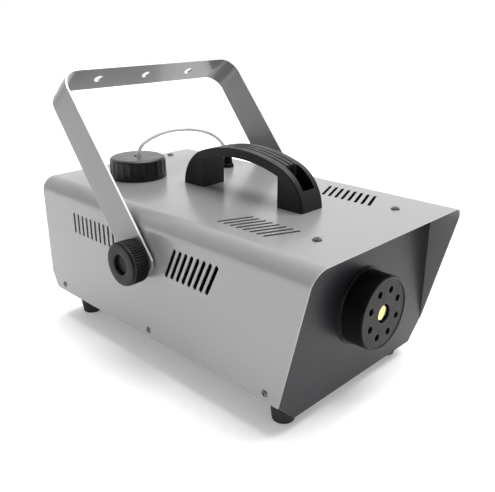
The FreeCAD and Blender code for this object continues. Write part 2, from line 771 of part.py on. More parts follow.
# ---------------------------------------------------------------------------------------------
# Nozzle and guard
# ---------------------------------------------------------------------------------------------
def nozzle_guard():
    """Open-backed cup over the nozzle: a middle opening and a ring of eight vent holes."""
    face = front_face - guard_len
    barrel = rod("guard_barrel", guard_radius, (0, front_face, nozzle_high), guard_len, "-y")
    ring = rod("guard_ring", guard_flange, (0, front_face, nozzle_high), 2, "-y")
    rim = eased("guard_blank", fused("guard_stock", barrel, ring), size(1.2),
                lambda edge: abs(edge.CenterOfMass.y - face.value) < 0.01)
    dish = rod("guard_dish", guard_rim, (0, face + 0.8, nozzle_high), 2, "-y")
    cavity = rod("guard_cavity", guard_radius - guard_wall, (0, front_face + 1, nozzle_high),
                 guard_len - guard_wall + 1, "-y")
    openings = [rod("guard_eye", guard_eye, (0, front_face, nozzle_high), guard_len + 1, "-y")]
    for i in range(8):
        angle = math.radians(22.5 + 45 * i)
        x = guard_hole_circle * math.cos(angle)
        z = nozzle_high + guard_hole_circle * math.sin(angle)
        openings.append(rod(f"guard_hole_{i}", guard_hole, (x, front_face, z), guard_len + 1, "-y"))
    bosses = [rod(f"guard_boss_{i}", 3.6, (x, front_face, z), 12, "-y")
              for i, (x, z) in enumerate(guard_bosses())]
    holes = [rod(f"guard_boss_hole_{i}", 1.5, (x, front_face + 1, z), 11, "-y")
             for i, (x, z) in enumerate(guard_bosses())]
    shell = minus("guard_shell", rim, dish, cavity, *openings)
    node(minus("nozzle_guard", fused("guard_bossed", shell, *bosses), *holes))
    node(group("guard_screws", [
        dome_screw(f"guard_screw_{i}", (x, front_face + plate, z), "y", 3, 1.4, 1.5, 10)
        for i, (x, z) in enumerate(guard_bosses())]))


def nozzle():
    tip = front_face - guard_len + 3.2
    at = lambda y: (0, y, nozzle_high)
    stem = rod("nozzle_stem", 5, at(heater_front), 24, "-y")
    nut = prism("nozzle_hex", 6, 9.5, at(heater_front - 13), 7, "-y")
    barrel = rod("nozzle_barrel", 7.5, at(front_face + 2), 14, "-y")
    nose = taper("nozzle_nose", 7.5, 6.9, at(front_face - 12), (front_face - 12) - tip, "-y")
    bore = rod("nozzle_bore", 2, at(heater_front + 1), (heater_front + 1) - tip - 3, "-y")
    orifice = rod("nozzle_orifice", 0.7, at(tip + 5), 8, "-y")
    node(minus("brass_nozzle", fused("nozzle_blank", stem, nut, barrel, nose), bore, orifice))


# ---------------------------------------------------------------------------------------------
# Heater
# ---------------------------------------------------------------------------------------------
def heater():
    """Cast block round the fluid channel and two heating rods, in insulation and a sheet jacket."""
    low, high = nozzle_high - 21, nozzle_high + 21
    wool, metal = 9, 10
    shell_rear = heater_rear + 8
    stem_hole = rod("wool_stem_hole", 5.1, (0, heater_front + 1, nozzle_high), 14, "-y")
    pipe_hole = rod("wool_pipe_hole", 5.1, (0, heater_rear - 1, nozzle_high), 14, "y")
    channel = rod("block_channel", 2, (0, heater_front, nozzle_high), heater_rear - heater_front, "y")
    sockets = [rod(f"block_socket_{i}", 4, (x, heater_front + 6, nozzle_high), 160, "y")
               for i, x in enumerate((-16, 16))]
    casting = block("block_casting", (-27, 27), (heater_front, heater_rear), (low, high))
    node(minus("heater_block", casting, channel, *sockets))
    rods = [rod(f"heating_rod_{i}", 4, (x, heater_front + 6, nozzle_high), heater_rear - heater_front + 12, "y")
            for i, x in enumerate((-16, 16))]
    node(group("heating_rods", rods))

    rod_holes = [rod(f"wool_rod_hole_{i}", 4.1, (x, heater_rear - 1, nozzle_high), 14, "y")
                 for i, x in enumerate((-16, 16))]
    padding = block("wool_outside", (-36, 36), (heater_front - 8, shell_rear), (low - wool, high + wool))
    space = block("wool_inside", (-27, 27), (heater_front, heater_rear), (low, high))
    node(minus("insulation", padding, space, stem_hole, pipe_hole, *rod_holes))
    sheeting = block("jacket_outside", (-37, 37), (heater_front - 9, shell_rear + 1),
                     (low - metal, high + metal))
    filling = block("jacket_inside", (-36, 36), (heater_front - 8, shell_rear), (low - wool, high + wool))
    node(minus("heater_jacket", sheeting, filling, stem_hole, pipe_hole, *rod_holes))
    stands = []
    for i, y in enumerate((-120, -15)):
        outside = block(f"stand_outside_{i}", (-30, 30), (y, y + 14), (floor_top, low - metal))
        inside = block(f"stand_inside_{i}", (-28.5, 28.5), (y, y + 14), (floor_top + 1.5, low - metal - 1.5))
        stands.append(minus(f"heater_stand_{i}", outside, inside))
    node(group("heater_stands", stands))
    base = rod("thermostat_can", 8, (-12, -50, high + metal), 7)
    tabs = [block(f"thermostat_tab_{i}", (x, x + 1), (-53, -47), (high + metal + 7, high + metal + 13))
            for i, x in enumerate((-16.5, -8.5))]
    thermostat = fused("thermostat", base, *tabs)
    fuse_can = rod("cutout_can", 5, (14, -50, high + metal), 6)
    ears = block("cutout_ears", (4, 24), (-53, -47), (high + metal, high + metal + 1))
    node(group("heater_thermostats", [thermostat, fused("thermal_cutout", fuse_can, ears)]))


# ---------------------------------------------------------------------------------------------
# Tank, cap and fluid hose
# ---------------------------------------------------------------------------------------------
def tank():
    """Blow-moulded tank whose neck stands up through the cover."""
    x, y = (cap_x - 50, cap_x + 50), (cap_y - 43, cap_y + 40)
    wall = 2.5
    shoulder = size(148)
    shell = eased("tank_blank", block("tank_stock", x, y, (floor_top, shoulder)), size(4),
                  lambda edge: abs(edge.BoundBox.ZLength) > 20)
    neck = rod("tank_neck", tank_neck, (cap_x, cap_y, shoulder), cap_top - 4.5 - shoulder)
    space = block("tank_space", (x[0] + wall, x[1] - wall), (y[0] + wall, y[1] - wall),
                  (floor_top + wall, shoulder - wall))
    mouth = rod("tank_mouth", tank_neck - 3, (cap_x, cap_y, shoulder - wall - 1), 60)
    node(minus("fluid_tank", fused("tank_shell", shell, neck), space, mouth))

    cap = eased("cap_blank", rod("cap_stock", cap_radius, (cap_x, cap_y, cap_foot), cap_top - cap_foot),
                size(4.4), lambda edge: edge.BoundBox.ZMin > cap_top.value - 0.01)
    inside = rod("cap_inside", tank_neck + 0.4, (cap_x, cap_y, cap_foot - 1), cap_top - 3 - (cap_foot - 1))
    eye = rod("cap_eye", 4, (cap_x, cap_y, cap_foot), cap_top - cap_foot + 1)
    node(minus("tank_cap", cap, inside, eye))
    node(tube("cap_seal", tank_neck + 0.2, 18, (cap_x, cap_y, cap_top - 4.45), 1.4))

    strap_z = (size(96), size(108))
    grip = block("strap_outside", (x[0] - 1.5, x[1] + 1.5), (y[0] - 1.5, y[1] - 8), strap_z)
    room = block("strap_inside", x, (y[0], y[1]), strap_z)
    strap = minus("tank_strap_band", grip, room)
    post = block("strap_post", (x[1] + 1.5, x[1] + 3), (y[0] - 1.5, y[0] + 14), (floor_top, 108))
    toe = block("strap_toe", (x[1] + 1.5, x[1] + 16), (y[0] - 1.5, y[0] + 14), (floor_top, floor_top + 1.5))
    node(fused("tank_bracket", strap, post, toe))


# Centreline of the hose, from the filter up through the cap, over and down through the gland to the
# pump: distance from the cap's axis towards the gland, and height.
HOSE_ROUTE = [
    (-6, 46), (-6, 84), (-2, 124), (0, 164), (0, 198.5), (15, 210.5), (40, 218), (70, 217),
    (94, 208.3), (107.6, 191.5), (109.9, 167), (109.4, 143), (109.4, 118),
]


def swept_path(obj, points, share=0.45):
    """Straight runs joined by tangent arcs, each arc as large as its two runs allow."""
    corners = [Vector(s, z, 0) for s, z in points]
    here, length = corners[0], 0.0
    for before, corner, after in zip(corners, corners[1:], corners[2:]):
        into, out = corner - before, after - corner
        reach = share * min(into.Length, out.Length)
        turn = into.getAngle(out)
        radius = reach / math.tan(turn / 2)
        into.normalize()
        out.normalize()
        start, end = corner - into * reach, corner + out * reach
        middle = corner + (out - into).normalize() * (radius / math.cos(turn / 2) - radius)
        obj.addGeometry(Part.LineSegment(here, start), False)
        obj.addGeometry(Part.Arc(start, middle, end), False)
        length += (start - here).Length + radius * turn
        here = end
        print(f"{obj.Name}: turn {math.degrees(turn):.1f} degrees, radius {radius:.1f} mm")
    obj.addGeometry(Part.LineSegment(here, corners[-1]), False)
    for i in range(obj.GeometryCount):
        obj.addConstraint(Sketcher.Constraint("Block", i))
    return length + (corners[-1] - here).Length


def hose_place():
    across, along = gland_x.value - cap_x.value, gland_y.value - cap_y.value
    return Rotation(Vector(0, 0, 1), math.degrees(math.atan2(along, across)))


def hose():
    """Suction hose, and the filter on its lower end."""
    body = new_body("fluid_hose")
    path = sketch(body, "hose_path", "XZ_Plane")
    length = swept_path(path, HOSE_ROUTE)
    start, level = HOSE_ROUTE[0]
    ring = circle(sketch(body, "hose_section", "XY_Plane", level), start, 0, hose_radius)
    sweep = body.newObject("PartDesign::AdditivePipe", "hose_sweep")
    sweep.Profile = ring
    sweep.Spine = (path, [])
    body.Placement = Placement(Vector(), hose_place())
    bind(body, "Placement.Base.x", cap_x)
    bind(body, "Placement.Base.y", cap_y)
    node(body)
    foot = hose_place().multVec(Vector(start, 0, 0))
    at = lambda z: (cap_x + foot.x, cap_y + foot.y, z)
    sieve = rod("filter_sieve", 8, at(floor_top + 3.5), 14)
    spigot = rod("filter_spigot", 2, at(floor_top + 17.5), level - (floor_top + 17.5))
    collar = rod("filter_collar", 4.5, at(floor_top + 17.5), 8)
    node(fused("suction_filter", sieve, spigot, collar))
    return body, length


def gland():
    bore = 3.2
    at = lambda z: (gland_x, gland_y, z)
    skirt = prism("gland_hex", 6, 7.2, at(body_top), 4)
    shank = rod("gland_shank", 4.5, at(roof - 7), 9)
    sleeve = taper("gland_sleeve", 5.8, 4.6, at(body_top + 4), 10)
    hole = rod("gland_bore", bore, at(roof - 8), 40)
    node(minus("hose_gland", fused("gland_blank", skirt, shank, sleeve), hole))
    node(minus("gland_nut", prism("gland_nut_blank", 6, 7.5, at(roof - 4), 4),
               rod("gland_nut_bore", 4.5, at(roof - 4), 4)))


# ---------------------------------------------------------------------------------------------
# Pump
# ---------------------------------------------------------------------------------------------
def pump():
    """Solenoid piston pump, upright under the gland: the barb on top takes the hose."""
    at = lambda z: (gland_x, gland_y, z)
    barrel = rod("pump_barrel", 8.5, at(34), 72)
    barb = taper("pump_barb", 3.4, 2, at(106), 12)
    outlet = rod("pump_outlet", 4, at(39), 20, "-y")
    bores = [
        rod("pump_cylinder", 5, at(44), 52),
        rod("pump_inlet_bore", 1.2, at(95), 24),
        rod("pump_low_bore", 1.2, at(39), 6),
        rod("pump_outlet_bore", 1.2, at(39), 21, "-y"),
    ]
    node(minus("pump_body", fused("pump_blank", barrel, barb, outlet), *bores))
    node(tube("pump_coil", 15.5, 8.6, at(52), 36))
    outside = block("pump_frame_outside", (gland_x - 19, gland_x + 19), (gland_y - 16, gland_y + 18), (49, 91))
    inside = block("pump_frame_inside", (gland_x - 20, gland_x + 20), (gland_y - 17, gland_y + 16), (51, 89))
    node(minus("pump_frame", outside, inside, rod("pump_frame_hole", 8.6, at(48), 44)))
    shell = block("pump_bracket_outside", (gland_x - 23, gland_x + 23), (gland_y - 16, gland_y + 16),
                  (floor_top, 49))
    tunnel = block("pump_bracket_inside", (gland_x - 21, gland_x + 21), (gland_y - 17, gland_y + 17),
                   (floor_top + 2, 47))
    node(minus("pump_bracket", shell, tunnel, rod("pump_bracket_hole", 8.6, at(46), 4)))
    node(rod("pump_piston", 5 - run_gap, at(58), 24))
    node(tube("pump_spring", 4.4, 3.2, at(44.1), 13.8))


def straight_pipe(name, radius, bore, points, bend):
    """Round pipe along straight runs with equal bends, as one solid with its bore."""
    corners = [Vector(*point) for point in points]
    edges, here = [], corners[0]
    for before, corner, after in zip(corners, corners[1:], corners[2:]):
        into, out = (corner - before).normalize(), (after - corner).normalize()
        turn = into.getAngle(out)
        reach = bend * math.tan(turn / 2)
        start, end = corner - into * reach, corner + out * reach
        middle = corner + (out - into).normalize() * (bend / math.cos(turn / 2) - bend)
        edges += [Part.LineSegment(here, start).toShape(), Part.Arc(start, middle, end).toShape()]
        here = end
    edges.append(Part.LineSegment(here, corners[-1]).toShape())
    path = Part.Wire(edges)
    begin, heading = corners[0], corners[1] - corners[0]
    rings = [Part.Wire(Part.makeCircle(r, begin, heading)) for r in (radius, bore)]
    outer, inner = (path.makePipeShell([ring], True, False) for ring in rings)
    obj = doc.addObject("Part::Feature", name)
    obj.Shape = outer.cut(inner)
    return node(obj)


def pressure_pipe():
    """Copper pipe from the pump's outlet to the back of the heater block."""
    x, y, z = gland_x.value, gland_y.value, nozzle_high.value
    rear = heater_rear.value
    return straight_pipe("pressure_pipe", 2, 1.2,
                         [(x, y - 20, 39), (x, 48, 39), (x, 48, z), (0, 48, z), (0, rear, z)], 9)


# ---------------------------------------------------------------------------------------------
# Electrics
# ---------------------------------------------------------------------------------------------
def electrics():
    x, y = (size(45), size(90)), (size(-62), size(18))
    deck = floor_top + 10
    posts = [rod(f"standoff_{i}{j}", 2.6, (px, py, floor_top), 10)
             for i, px in enumerate((x[0] + 4, x[1] - 4)) for j, py in enumerate((y[0] + 4, y[1] - 4))]
    node(group("board_standoffs", posts))
    node(block("control_board", x, y, (deck, deck + 1.6)))
    top = deck + 1.6
    parts = [
        block("board_transformer", (52, 80), (-54, -26), (top, top + 24)),
        block("board_relay", (53, 72), (-18, -2), (top, top + 15)),
        block("board_plug", (50, 80), (4, 13), (top, top + 11)),
        rod("board_capacitor_0", 5, (80, -12, top), 14),
        rod("board_capacitor_1", 4, (82, -1.5, top), 11),
    ]
    node(group("board_parts", parts))
    strip = block("terminal_strip", (-90, -72), (-20, 40), (floor_top, floor_top + 17))
    wells = []
    for i in range(6):
        wy = size(-20) + 5 + i * 10
        wells.append(rod(f"terminal_well_{i}", 3, (-81, wy, floor_top + 9), 9))
        wells.append(rod(f"terminal_way_{i}", 2, (-91, wy, floor_top + 6), 20, "x"))
    node(minus("terminal_block", strip, *wells))


def mains_inlet():
    """Recessed three-pin inlet in a flange with two screws."""
    x, z = inlet_x, inlet_z
    face = rear_face + 2.6
    flange = block("inlet_flange", (x - 25, x + 25), (rear_face, face), (z - 12, z + 12))
    barrel = block("inlet_barrel", (x - 13.6, x + 13.6), (rear_face - 27, rear_face), (z - 9.6, z + 9.6))
    cavity = block("inlet_cavity", (x - 12.2, x + 12.2), (rear_face - 14, face + 1), (z - 8.2, z + 8.2))
    holes = [rod(f"inlet_hole_{i}", 1.6, (x + dx, rear_face - 1, z), 6, "y")
             for i, dx in enumerate((-inlet_screw, inlet_screw))]
    shell = minus("inlet_shell", fused("inlet_blank", flange, barrel), cavity, *holes)
    pins = [block(f"inlet_pin_{i}", (x + dx - 1, x + dx + 1), (rear_face - 14, rear_face - 0.5),
                  (z + dz - 2, z + dz + 2)) for i, (dx, dz) in enumerate(((-7, -2), (0, 2), (7, -2)))]
    node(shell, "mains_inlet")
    node(group("inlet_pins", pins))
    screws = [dome_screw(f"inlet_screw_{i}", (x + dx, face, z), "y", 2.8, 1.2, 1.5, 8)
              for i, dx in enumerate((-inlet_screw, inlet_screw))]
    screws += [dome_screw(f"remote_screw_{i}", (remote_x + dx, rear_face + 1.6, remote_z), "y", 2.2, 1, 1.2, 6)
               for i, dx in enumerate((-remote_screw, remote_screw))]
    node(group("socket_screws", screws))


def power_switch():
    """Rocker switch. The rocker leans 8 degrees to its off side."""
    x, z = switch_x, switch_z
    face = rear_face + 2
    pin_y = rear_face - 3
    bezel = block("switch_rim", (x - 8, x + 8), (rear_face, face), (z - 11.5, z + 11.5))
    box = block("switch_box", (x - 6.4, x + 6.4), (rear_face - 18, rear_face), (z - 9.5, z + 9.5))
    cavity = block("switch_cavity", (x - 5, x + 5), (rear_face - 10, face + 1), (z - 9, z + 9))
    hole = rod("switch_pin_hole", 1.2 + run_gap, (x - 6, pin_y, z), 12, "x")
    node(minus("switch_body", fused("switch_blank", bezel, box), cavity, hole))
    body = new_body("switch_rocker")
    side = outline(sketch(body, "rocker_side", "YZ_Plane"), (-3, -7.5), (7, -7.5), (5.6, 0), (7, 7.5), (-3, 7.5))
    pad(body, "rocker_block", side, 9.4, "Symmetric")
    pivot = circle(sketch(body, "rocker_pivot", "YZ_Plane"), 0, 0, 1.2)
    pad(body, "rocker_pin", pivot, 11.6, "Symmetric")
    body.Placement = Placement(Vector(), Rotation(Vector(1, 0, 0), -8))
    for axis, value in zip("xyz", (x, pin_y, z)):
        bind(body, f"Placement.Base.{axis}", value)
    node(body)


def fuse_holder():
    at = lambda y: (fuse_x, y, switch_z)
    face = rear_face + 2
    flange = rod("holder_flange", 8.5, at(rear_face), 2, "y")
    barrel = rod("holder_barrel", 6, at(rear_face - 25), 25, "y")
    bore = rod("holder_bore", 4 + run_gap, at(rear_face - 24), 30, "y")
    node(minus("fuse_holder", fused("holder_blank", flange, barrel), bore))
    node(tube("fuse_carrier", 4, 2.6 + run_gap, at(rear_face - 20), 21.5, "y"))
    glass = rod("fuse_glass", 2.2, at(rear_face - 21), 20, "y")
    ends = [rod(f"fuse_end_{i}", 2.6, at(y), 5, "y") for i, y in enumerate((rear_face - 21, rear_face - 6))]
    node(fused("fuse", glass, *ends))
    knob = taper("fuse_cap_knob", 6.6, 6, at(face + 0.1), 3.6, "y")
    stem = rod("fuse_cap_stem", 2.6, at(rear_face - 0.9), 3, "y")
    cut = block("fuse_cap_slot", (fuse_x - 7, fuse_x + 7), (face + 2.4, face + 4), (switch_z - 0.6, switch_z + 0.6))
    node(minus("fuse_cap", fused("fuse_cap_blank", knob, stem), cut))


def remote_socket():
    x, z = remote_x, remote_z
    face = rear_face + 1.6
    flange = block("remote_flange", (x - 14, x + 14), (rear_face, face), (z - 9.5, z + 9.5))
    barrel = rod("remote_barrel", 7.5, (x, rear_face - 15, z), 15, "y")
    well = minus("remote_well", rod("remote_well_outside", 6.7, (x, face - 7, z), 8, "y"),
                 rod("remote_well_core", 5.2, (x, face - 7, z), 5, "y"))
    holes = []
    for i in range(5):
        angle = math.radians(-90 + 45 * (i - 2))
        at = (x + 3.4 * math.cos(angle), face - 8, z + 3.4 * math.sin(angle))
        holes.append(rod(f"remote_way_{i}", 0.8, at, 9, "y"))
    tails = [rod(f"remote_screw_hole_{i}", 1.2, (x + dx, rear_face - 1, z), 4, "y")
             for i, dx in enumerate((-remote_screw, remote_screw))]
    node(minus("remote_socket", fused("remote_blank", flange, barrel), well, *holes, *tails))


# ---------------------------------------------------------------------------------------------
# The whole machine
# ---------------------------------------------------------------------------------------------
heater_front = dim("heater_front", -140, "front of the heater block")
heater_rear = dim("heater_rear", 10, "back of the heater block")
tank_neck = dim("tank_neck", 25, "outer radius of the tank's neck")
inlet_x = dim("inlet_x", 66, "mains inlet from the middle")
inlet_z = dim("inlet_z", 62, "mains inlet above the floor")
switch_x = dim("switch_x", 44, "power switch from the middle")
switch_z = dim("switch_z", 108, "power switch and fuse above the floor")
fuse_x = dim("fuse_x", 88, "fuse holder from the middle")
remote_x = dim("remote_x", -50, "remote socket from the middle")
remote_z = dim("remote_z", 100, "remote socket above the floor")
inlet_screw = dim("inlet_screw", 20, "inlet screws from the inlet's middle")
remote_screw = dim("remote_screw", 11, "remote socket screws from its middle")
doc.recompute()

cover()
front_panel()
rear_panel()
chassis_pan()
for place, sign, y in (("front_left", -1, foot_front_y), ("front_right", 1, foot_front_y),
                       ("rear_left", -1, foot_rear_y), ("rear_right", 1, foot_rear_y)):
    foot(f"foot_{place}", sign * foot_x, y)
casing_screws()
handle()
yoke()
clamps()
nozzle_guard()
nozzle()
heater()
tank()
hose_body, hose_length = hose()
gland()
pump()
pressure_pipe()
electrics()
mains_inlet()
power_switch()
fuse_holder()
remote_socket()
doc.recompute()

failed = [obj.Name for obj in doc.Objects if {"Invalid", "Error"} & set(obj.State)]
if failed:
    raise SystemExit(f"not computed: {failed}")
for obj in nodes:
    if obj.Shape.isNull() or not obj.Shape.isValid():
        raise SystemExit(f"bad shape: {obj.Label}")
    if obj.Shape.Volume <= 0:
        raise SystemExit(f"no volume: {obj.Label}")
section = math.pi * hose_radius.value ** 2
print(f"hose: {hose_length:.1f} mm, volume {hose_body.Shape.Volume:.0f}, expected {section * hose_length:.0f}")

os.makedirs("parts", exist_ok=True)
for obj in nodes:
    obj.Shape.exportStep(f"parts/{obj.Label}.step")
print(f"{len(nodes)} parts")
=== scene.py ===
"""Studio scene of the fog machine: materials for every part, the pieces that need a finer shape than the
CAD solids, the floor, the lights and the camera."""
import json
import math

import bmesh
import bpy
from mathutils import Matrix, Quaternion, Vector


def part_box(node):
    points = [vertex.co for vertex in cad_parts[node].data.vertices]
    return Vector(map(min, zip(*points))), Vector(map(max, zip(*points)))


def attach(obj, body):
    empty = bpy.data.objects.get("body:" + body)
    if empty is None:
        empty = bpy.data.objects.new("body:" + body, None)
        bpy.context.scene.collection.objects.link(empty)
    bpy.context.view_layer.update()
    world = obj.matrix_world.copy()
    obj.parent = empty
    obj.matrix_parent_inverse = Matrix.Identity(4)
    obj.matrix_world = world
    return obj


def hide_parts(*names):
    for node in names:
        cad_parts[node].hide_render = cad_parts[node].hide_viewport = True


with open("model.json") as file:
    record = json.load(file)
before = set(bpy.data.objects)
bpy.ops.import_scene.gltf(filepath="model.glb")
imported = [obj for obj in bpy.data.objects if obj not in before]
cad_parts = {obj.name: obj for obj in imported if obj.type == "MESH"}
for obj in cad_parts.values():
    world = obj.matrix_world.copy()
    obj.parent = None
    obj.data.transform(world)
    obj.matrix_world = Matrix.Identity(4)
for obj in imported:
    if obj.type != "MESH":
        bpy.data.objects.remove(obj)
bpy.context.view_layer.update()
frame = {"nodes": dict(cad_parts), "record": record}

MM = 0.001
nodes = frame["nodes"]


# ---------------------------------------------------------------------------------------------
# Materials
# ---------------------------------------------------------------------------------------------
class Shader:
    """A Principled material with helpers that add texture nodes in object space."""

    def __init__(self, name, color, roughness, metallic=0.0, **inputs):
        self.material = bpy.data.materials.new(name)
        self.material.use_nodes = True
        self.tree = self.material.node_tree
        self.bsdf = self.tree.nodes["Principled BSDF"]
        self.color = color
        self.set("Base Color", (*color, 1.0))
        self.set("Roughness", roughness)
        self.set("Metallic", metallic)
        for key, value in inputs.items():
            self.set(key.replace("_", " "), value)
        self.material.diffuse_color = (*color, 1.0)

    def set(self, socket, value):
        self.bsdf.inputs[socket].default_value = value

    def node(self, kind, **values):
        item = self.tree.nodes.new(kind)
        for key, value in values.items():
            setattr(item, key, value)
        return item

    def link(self, a, b):
        self.tree.links.new(a, b)

    def coords(self, stretch=(1, 1, 1)):
        place = self.node("ShaderNodeTexCoord")
        mapping = self.node("ShaderNodeMapping")
        mapping.inputs["Scale"].default_value = stretch
        self.link(place.outputs["Object"], mapping.inputs["Vector"])
        return mapping.outputs["Vector"]

    def noise(self, size, detail=3.0, stretch=(1, 1, 1)):
        """Noise whose features are about that many metres across."""
        item = self.node("ShaderNodeTexNoise")
        item.inputs["Scale"].default_value = 1.0 / size
        item.inputs["Detail"].default_value = detail
        self.link(self.coords(stretch), item.inputs["Vector"])
        return item.outputs["Fac"]

    def spread(self, value, low, high, start=0.3, end=0.7):
        """The value from start to end, mapped to low to high and held there beyond them."""
        item = self.node("ShaderNodeMapRange")
        for key, number in (("From Min", start), ("From Max", end), ("To Min", low), ("To Max", high)):
            item.inputs[key].default_value = number
        self.link(value, item.inputs["Value"])
        return item.outputs["Result"]

    def tint(self, value, low, high):
        """Base colour that goes from low to high times the material's own."""
        ramp = self.node("ShaderNodeValToRGB")
        ramp.color_ramp.elements[0].position = 0.3
        ramp.color_ramp.elements[1].position = 0.7
        for element, factor in zip(ramp.color_ramp.elements, (low, high)):
            element.color = (*(min(1.0, c * factor) for c in self.color), 1.0)
        self.link(value, ramp.inputs["Fac"])
        return ramp.outputs["Color"]

    def blend(self, factor, base, color):
        """Base colour that turns to another as the factor goes from 0 to 1."""
        item = self.node("ShaderNodeMix", data_type="RGBA", blend_type="MIX")
        self.link(factor, item.inputs["Factor"])
        self.link(base, item.inputs["A"])
        item.inputs["B"].default_value = (*color, 1.0)
        return item.outputs["Result"]

    def painted_top_light(self, base, amount):
        """Painted top light: base colour greyed where the surface looks up, by at most that reflectance."""
        place = self.node("ShaderNodeTexCoord")
        split = self.node("ShaderNodeSeparateXYZ")
        self.link(place.outputs["Normal"], split.inputs["Vector"])
        upward = self.spread(split.outputs["Z"], 0.0, 1.0, 0.55, 1.0)
        return self.blend(upward, base, [c + amount for c in self.color])

    def edges(self, reach):
        """0 on flat faces, 1 along outer and inner edges, about that many metres wide."""
        bevel = self.node("ShaderNodeBevel", samples=6)
        bevel.inputs["Radius"].default_value = reach
        flat = self.node("ShaderNodeNewGeometry")
        dot = self.node("ShaderNodeVectorMath", operation="DOT_PRODUCT")
        self.link(bevel.outputs["Normal"], dot.inputs[0])
        self.link(flat.outputs["Normal"], dot.inputs[1])
        return self.spread(dot.outputs["Value"], 1.0, 0.0, 0.84, 0.99)

    def wear_and_edge_highlight(self, base, amount, reach=0.0008):
        """Base colour that turns lighter along the edges, in uneven patches: partly rubbed paint, partly a
        painted highlight.
        """
        times = self.node("ShaderNodeMath", operation="MULTIPLY")
        self.link(self.edges(reach), times.inputs[0])
        self.link(self.spread(self.noise(0.02, 4.0), 0.5, 1.0), times.inputs[1])
        return self.blend(times.outputs["Value"], base, [min(1.0, c + amount) for c in self.color])

    def painted_edge_highlight(self, base, way, color):
        """Painted highlight: a bright base colour on the strip's cut edges, which face along way or against
        it.
        """
        place = self.node("ShaderNodeTexCoord")
        dot = self.node("ShaderNodeVectorMath", operation="DOT_PRODUCT")
        dot.inputs[1].default_value = way
        self.link(place.outputs["Normal"], dot.inputs[0])
        size = self.node("ShaderNodeMath", operation="ABSOLUTE")
        self.link(dot.outputs["Value"], size.inputs[0])
        return self.blend(self.spread(size.outputs["Value"], 0.0, 1.0, 0.9, 0.96), base, color)

    def use_color(self, output):
        self.link(output, self.bsdf.inputs["Base Color"])

    def use_roughness(self, output):
        self.link(output, self.bsdf.inputs["Roughness"])

    def bump(self, value, depth):
        """Relief: depth is the height of the full range in metres."""
        item = self.node("ShaderNodeBump")
        item.inputs["Strength"].default_value = 1.0
        item.inputs["Distance"].default_value = depth
        self.link(value, item.inputs["Height"])
        self.link(item.outputs["Normal"], self.bsdf.inputs["Normal"])


# Bright grey painted on the yoke's cut edges as a painted highlight.
EDGE_HIGHLIGHT_GREY = (0.72, 0.72, 0.73)


def powder_coat(name, color, roughness, metallic=0.1, coat=0.3, fleck=0.05, edge_wear_and_highlight=0.3, highlight_way=None, **inputs):
    """Baked metallic paint: fine flecks, a faint orange peel, slight handling marks, and lighter edges that
    are partly thinner paint and partly a painted highlight. Faces that look along the given edge direction
    are the strip's cut edges, painted bright as a painted highlight."""
    s = Shader(name, color, roughness, metallic, Coat_Weight=coat, Coat_Roughness=0.14, **inputs)
    flecks = s.tint(s.noise(0.0007, 2.0), 1 - fleck, 1 + fleck)
    # Painted highlight on the strip's cut edges.
    if highlight_way:
        flecks = s.painted_edge_highlight(flecks, highlight_way, EDGE_HIGHLIGHT_GREY)
    # Lighter edges: partly worn paint, partly a painted highlight.
    s.use_color(s.wear_and_edge_highlight(flecks, edge_wear_and_highlight))
    s.use_roughness(s.spread(s.noise(0.05, 4.0), roughness - 0.012, roughness + 0.012))
    s.bump(s.noise(0.0016, 2.0), 0.000006)
    return s.material


def moulded(name, color, roughness, grain=0.0006, depth=0.00002, spread=0.06, top_light_paint=0.0, edge_wear_and_highlight=0.03,
            **inputs):
    """Moulded plastic: spark-eroded grain, patches that hands have polished, a painted top light that greys
    the faces that look up, and lighter edges, partly wear and partly a painted highlight."""
    s = Shader(name, color, roughness, **inputs)
    base = s.tint(s.noise(0.02, 4.0), 0.93, 1.08)
    # Painted top light: the up-facing faces are made lighter.
    if top_light_paint:
        base = s.painted_top_light(base, top_light_paint)
    # Lighter edges: partly worn plastic, partly a painted highlight.
    s.use_color(s.wear_and_edge_highlight(base, edge_wear_and_highlight))
    s.use_roughness(s.spread(s.noise(0.012, 4.0), roughness - spread, roughness + spread))
    s.bump(s.noise(grain, 2.0), depth)
    return s.material


def machined(name, color, roughness, stretch=(1, 0.12, 1), mark=0.0005, depth=0.000004):
    """Turned or drawn metal with fine tool marks along one axis and a little tarnish."""
    s = Shader(name, color, roughness, 1.0)
    s.use_color(s.tint(s.noise(0.006, 5.0), 0.86, 1.06))
    s.use_roughness(s.spread(s.noise(0.004, 3.0), roughness - 0.06, roughness + 0.09))
    s.bump(s.noise(mark, 2.0, stretch), depth)
    return s.material


def rubbery(name, color):
    """Dull rubber, mottled and a little pitted."""
    s = Shader(name, color, 0.72)
    s.use_color(s.tint(s.noise(0.003, 5.0), 0.8, 1.25))
    s.bump(s.noise(0.0011, 4.0), 0.00005)
    return s.material


def translucent(name, color, transmission, roughness):
    """Milky soft plastic that lets some light through."""
    s = Shader(name, color, roughness, Transmission_Weight=transmission, IOR=1.46)
    s.use_color(s.tint(s.noise(0.01, 3.0), 0.97, 1.02))
    s.use_roughness(s.spread(s.noise(0.006, 3.0), roughness - 0.05, roughness + 0.05))
    s.bump(s.noise(0.0015, 2.0), 0.00001)
    return s.material


def fibrous(name, color):
    """Matted mineral fibres that lie mostly along the block."""
    s = Shader(name, color, 0.95)
    s.use_color(s.tint(s.noise(0.002, 6.0, (1, 0.3, 1)), 0.75, 1.12))
    s.bump(s.noise(0.0015, 6.0, (1, 0.3, 1)), 0.0006)
    return s.material
